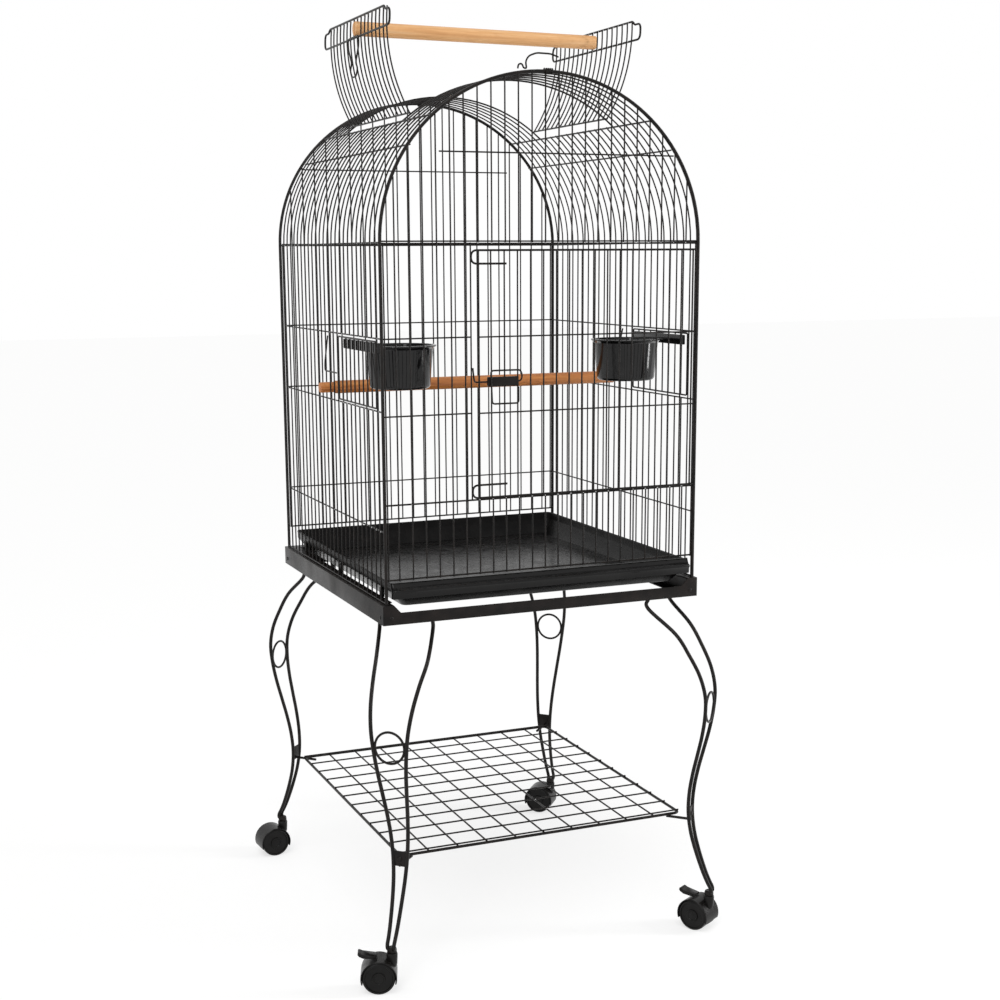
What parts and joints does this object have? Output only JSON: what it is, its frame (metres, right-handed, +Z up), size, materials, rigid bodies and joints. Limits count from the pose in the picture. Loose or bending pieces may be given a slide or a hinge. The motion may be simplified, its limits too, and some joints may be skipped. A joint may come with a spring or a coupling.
{
  "type": "parrot cage",
  "caption": "Dome-top parrot cage with an open playtop roof, hinged front door, hanging cups, pull-out tray and a rolling stand with a wire shelf.",
  "frame": {"origin": "on the floor under the middle of the whole object's outline", "axes": "+Z up, the front with the large door faces -Y, +X to the right seen from the front"},
  "size_m": [0.6168, 0.6864, 1.4391],
  "materials": {
    "black_coat": "satin black powder coat on steel wire",
    "gloss_black": "glossy black plastic",
    "pale_wood": "plain pale dowel",
    "dark_wood": "plain dowel, deeper orange",
    "tread": "dull black wheels",
    "caster_plastic": "semi-gloss black hood"
  },
  "bodies": {
    "cage": {"back_arch": "black_coat", "back_left_leg": "black_coat", "back_lunette": "black_coat", "back_lunette_cross": "black_coat", "back_right_leg": "black_coat", "back_strip": "black_coat", "back_wall": "black_coat", "front_arch": "black_coat", "front_left_leg": "black_coat", "front_lunette": "black_coat", "front_lunette_cross": "black_coat", "front_right_leg": "black_coat", "front_strip": "black_coat", "front_wall": "black_coat", "hoop_high": "black_coat", "hoop_low": "black_coat", "hoop_mid": "black_coat", "inner_perch": "dark_wood", "left_roof_rail": "black_coat", "left_vault": "black_coat", "left_wall": "black_coat", "right_roof_rail": "black_coat", "right_vault": "black_coat", "right_wall": "black_coat", "shelf_frame": "black_coat", "shelf_wires": "black_coat", "stand_frame": "black_coat"},
    "front_door": {"front_door": "black_coat", "door_top_rail": "black_coat", "door_bottom_rail": "black_coat", "door_cross_low": "black_coat", "door_cross_high": "black_coat", "door_latch_sleeve": "black_coat"},
    "door_latch": {"door_latch_hook": "black_coat"},
    "left_feeder_door": {"left_feeder_door": "black_coat"},
    "right_feeder_door": {"right_feeder_door": "black_coat"},
    "left_feeder_latch": {"left_feeder_latch": "black_coat"},
    "right_feeder_latch": {"right_feeder_latch": "black_coat"},
    "left_flap": {"left_flap": "black_coat", "left_flap_frame": "black_coat"},
    "right_flap": {"right_flap": "black_coat", "right_flap_frame": "black_coat"},
    "flap_latch": {"flap_latch": "black_coat"},
    "front_roof_latch": {"front_roof_latch": "black_coat"},
    "back_roof_latch": {"back_roof_latch": "black_coat"},
    "roof_perch": {"roof_perch": "pale_wood"},
    "left_cup": {"left_cup": "gloss_black"},
    "right_cup": {"right_cup": "gloss_black"},
    "tray": {"tray": "gloss_black"},
    "front_left_caster": {"front_left_caster_hood": "caster_plastic"},
    "front_left_wheels": {"front_left_wheels": "tread"},
    "front_left_brake": {"front_left_brake_lever": "caster_plastic"},
    "front_right_caster": {"front_right_caster_hood": "caster_plastic"},
    "front_right_wheels": {"front_right_wheels": "tread"},
    "front_right_brake": {"front_right_brake_lever": "caster_plastic"},
    "back_left_caster": {"back_left_caster_hood": "caster_plastic"},
    "back_left_wheels": {"back_left_wheels": "tread"},
    "back_right_caster": {"back_right_caster_hood": "caster_plastic"},
    "back_right_wheels": {"back_right_wheels": "tread"}
  },
  "joints": [
    {"name": "front_door_hinge", "type": "hinge", "parent": "cage", "child": "front_door", "pos_m": [0.26192, -0.28073, 0.90948], "axis": [0, 0, 1], "range_deg": [0, 170]},
    {"name": "door_latch_slide", "type": "slide", "parent": "front_door", "child": "door_latch", "axis": [1, 0, 0], "range_m": [-0.0022, 0.0022]},
    {"name": "left_feeder_door_hinge", "type": "hinge", "parent": "cage", "child": "left_feeder_door", "pos_m": [-0.23978, -0.24965, 0.90499], "axis": [0, 0, 1], "range_deg": [0, 110]},
    {"name": "right_feeder_door_hinge", "type": "hinge", "parent": "cage", "child": "right_feeder_door", "pos_m": [0.27022, -0.24965, 0.90499], "axis": [0, 0, -1], "range_deg": [0, 110]},
    {"name": "left_feeder_latch_slide", "type": "slide", "parent": "cage", "child": "left_feeder_latch", "axis": [0, -1, 0], "range_m": [0, 0.01]},
    {"name": "right_feeder_latch_slide", "type": "slide", "parent": "cage", "child": "right_feeder_latch", "axis": [0, -1, 0], "range_m": [0, 0.01]},
    {"name": "left_flap_hinge", "type": "hinge", "parent": "cage", "child": "left_flap", "pos_m": [-0.14678, -0.01223, 1.28828], "axis": [0, -1, 0], "range_deg": [0, 89]},
    {"name": "right_flap_hinge", "type": "hinge", "parent": "cage", "child": "right_flap", "pos_m": [0.17722, -0.01223, 1.28828], "axis": [0, 1, 0], "range_deg": [0, 85]},
    {"name": "flap_latch_hinge", "type": "hinge", "parent": "left_flap", "child": "flap_latch", "pos_m": [-0.18335, -0.01223, 1.40893], "axis": [0, 1, 0], "range_deg": [0, 35]},
    {"name": "front_roof_latch_hinge", "type": "hinge", "parent": "cage", "child": "front_roof_latch", "pos_m": [-0.01778, -0.27723, 1.34207], "axis": [-1, 0, 0], "range_deg": [0, 88]},
    {"name": "back_roof_latch_hinge", "type": "hinge", "parent": "cage", "child": "back_roof_latch", "pos_m": [0.04822, 0.25277, 1.34207], "axis": [-1, 0, 0], "range_deg": [0, 88]},
    {"name": "roof_perch_slide", "type": "slide", "parent": "cage", "child": "roof_perch", "axis": [1, 0, 0], "range_m": [0, 0.01]},
    {"name": "left_cup_slide", "type": "slide", "parent": "cage", "child": "left_cup", "axis": [1, 0, 0], "range_m": [0, 0.08]},
    {"name": "right_cup_slide", "type": "slide", "parent": "cage", "child": "right_cup", "axis": [-1, 0, 0], "range_m": [0, 0.08]},
    {"name": "tray_slide", "type": "slide", "parent": "cage", "child": "tray", "axis": [0, -1, 0], "range_m": [0, 0.42]},
    {"name": "front_left_swivel", "type": "hinge", "parent": "cage", "child": "front_left_caster", "pos_m": [-0.25678, -0.32163, 0.05998], "axis": [0, 0, 1], "continuous": true},
    {"name": "front_left_wheel_axle", "type": "hinge", "parent": "front_left_caster", "child": "front_left_wheels", "pos_m": [-0.27558, -0.31479, 0.02499], "axis": [-0.342, -0.9397, 0], "continuous": true},
    {"name": "front_left_brake_hinge", "type": "hinge", "parent": "front_left_caster", "child": "front_left_brake", "pos_m": [-0.28121, -0.31274, 0.05289], "axis": [-0.342, -0.9397, 0], "range_deg": [0, 14]},
    {"name": "front_right_swivel", "type": "hinge", "parent": "cage", "child": "front_right_caster", "pos_m": [0.28722, -0.32163, 0.05998], "axis": [0, 0, 1], "continuous": true},
    {"name": "front_right_wheel_axle", "type": "hinge", "parent": "front_right_caster", "child": "front_right_wheels", "pos_m": [0.27722, -0.30431, 0.02499], "axis": [-0.866, -0.5, 0], "continuous": true},
    {"name": "front_right_brake_hinge", "type": "hinge", "parent": "front_right_caster", "child": "front_right_brake", "pos_m": [0.27422, -0.29912, 0.05289], "axis": [-0.866, -0.5, 0], "range_deg": [0, 14]},
    {"name": "back_left_swivel", "type": "hinge", "parent": "cage", "child": "back_left_caster", "pos_m": [-0.25678, 0.29717, 0.05998], "axis": [0, 0, 1], "continuous": true},
    {"name": "back_left_wheel_axle", "type": "hinge", "parent": "back_left_caster", "child": "back_left_wheels", "pos_m": [-0.27671, 0.29543, 0.02499], "axis": [0.0872, -0.9962, 0], "continuous": true},
    {"name": "back_right_swivel", "type": "hinge", "parent": "cage", "child": "back_right_caster", "pos_m": [0.28722, 0.29717, 0.05998], "axis": [0, 0, 1], "continuous": true},
    {"name": "back_right_wheel_axle", "type": "hinge", "parent": "back_right_caster", "child": "back_right_wheels", "pos_m": [0.2719, 0.31002, 0.02499], "axis": [-0.6428, -0.766, 0], "continuous": true}
  ]
}
